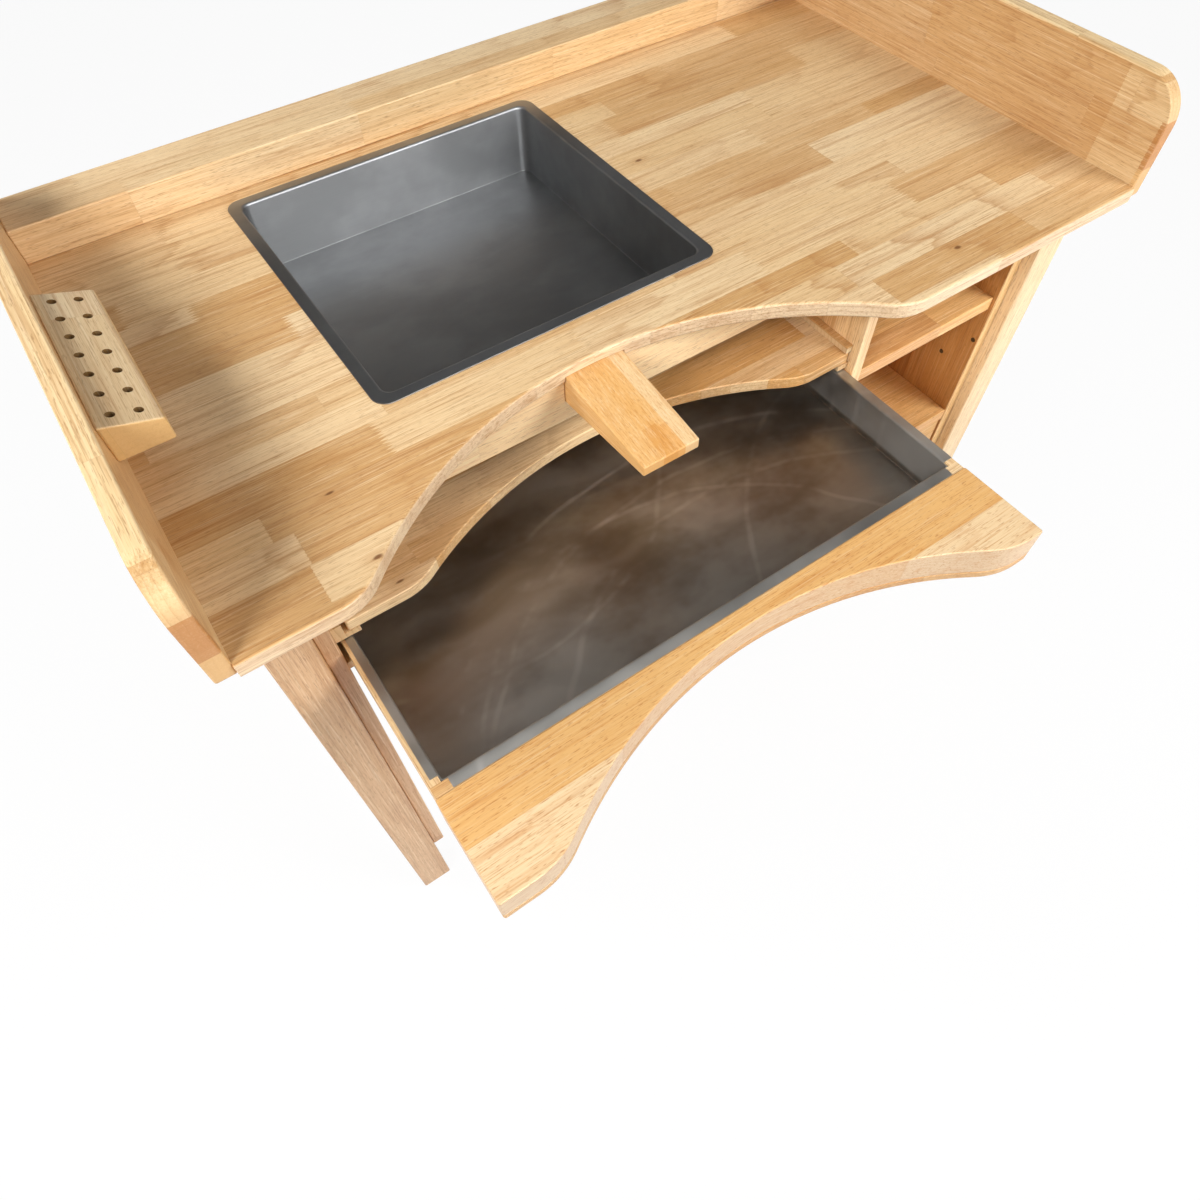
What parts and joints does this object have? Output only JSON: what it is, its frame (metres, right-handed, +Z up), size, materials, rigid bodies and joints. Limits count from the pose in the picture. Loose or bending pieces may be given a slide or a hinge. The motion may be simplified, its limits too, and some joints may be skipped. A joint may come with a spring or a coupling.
{
  "type": "jewelers bench",
  "caption": "Wooden jeweller's bench with a curved cut-out, bench pin, solder pan, tool block, pull-out shelf, catch drawer with armrest and a side cabinet.",
  "frame": {"origin": "on the floor, below the middle of the box round the rest pose", "axes": "+X to the worker's right along the bench, +Y to the back, +Z up"},
  "size_m": [1.2, 0.957, 1.007],
  "materials": {
    "top_wood": "satin lacquered, finger-jointed staves",
    "block_wood": "satin lacquered",
    "pin_wood": "bare, glued from strips",
    "armrest_wood": "satin, open pores",
    "leg_wood": "satin lacquered",
    "shelf_wood": "satin lacquered",
    "panel_wood": "satin lacquered",
    "drawer_wood": "satin lacquered",
    "plywood": "sanded",
    "pan_steel": "dark satin sheet",
    "liner_steel": "bare sheet, smeared and worn"
  },
  "bodies": {
    "bench": {"bench_top": "top_wood", "side_upstand_left": "top_wood", "side_upstand_right": "top_wood", "back_ledge": "top_wood", "tool_block": "block_wood", "front_rail": "shelf_wood", "shelf_guide_left": "shelf_wood", "shelf_cleat_right": "shelf_wood", "shelf_keeper_right": "shelf_wood", "leg_front_left": "leg_wood", "leg_front_right": "leg_wood", "leg_back_left": "leg_wood", "leg_back_right": "leg_wood", "side_panel_left": "panel_wood", "side_panel_right": "panel_wood", "cabinet_divider": "panel_wood", "back_rail": "panel_wood", "back_stretcher": "panel_wood", "cabinet_shelf": "panel_wood", "cabinet_board": "panel_wood", "cabinet_bottom": "panel_wood", "cabinet_back": "plywood", "catch_drawer_runner_left": "drawer_wood", "catch_drawer_runner_right": "drawer_wood", "lower_drawer_runner_left": "drawer_wood", "lower_drawer_runner_right": "drawer_wood", "upper_drawer_runner_left": "drawer_wood", "upper_drawer_runner_right": "drawer_wood"},
    "catch_drawer": {"catch_drawer_front": "drawer_wood", "catch_drawer_side_left": "drawer_wood", "catch_drawer_side_right": "drawer_wood", "catch_drawer_back": "drawer_wood", "catch_drawer_bottom": "plywood", "catch_drawer_liner": "liner_steel", "armrest": "armrest_wood", "armrest_base": "armrest_wood"},
    "slide_shelf": {"slide_shelf": "shelf_wood"},
    "solder_pan": {"solder_pan": "pan_steel"},
    "bench_pin": {"bench_pin": "pin_wood"},
    "upper_drawer": {"upper_drawer_front": "drawer_wood", "upper_drawer_side_left": "drawer_wood", "upper_drawer_side_right": "drawer_wood", "upper_drawer_back": "drawer_wood", "upper_drawer_bottom": "plywood", "upper_drawer_knob": "drawer_wood"},
    "lower_drawer": {"lower_drawer_front": "drawer_wood", "lower_drawer_side_left": "drawer_wood", "lower_drawer_side_right": "drawer_wood", "lower_drawer_back": "drawer_wood", "lower_drawer_bottom": "plywood", "lower_drawer_knob": "drawer_wood"}
  },
  "joints": [
    {"name": "catch_drawer_slide", "type": "slide", "parent": "bench", "child": "catch_drawer", "axis": [0, -1, 0], "range_m": [-0.18, 0.2]},
    {"name": "slide_shelf_slide", "type": "slide", "parent": "bench", "child": "slide_shelf", "axis": [0, -1, 0], "range_m": [0, 0.2]},
    {"name": "upper_drawer_slide", "type": "slide", "parent": "bench", "child": "upper_drawer", "axis": [0, -1, 0], "range_m": [0, 0.3]},
    {"name": "lower_drawer_slide", "type": "slide", "parent": "bench", "child": "lower_drawer", "axis": [0, -1, 0], "range_m": [0, 0.3]},
    {"name": "bench_pin_pull", "type": "slide", "parent": "bench", "child": "bench_pin", "axis": [0, -1, 0], "range_m": [0, 0.06]},
    {"name": "solder_pan_lift", "type": "slide", "parent": "bench", "child": "solder_pan", "axis": [0, 0, 1], "range_m": [0, 0.12]}
  ]
}
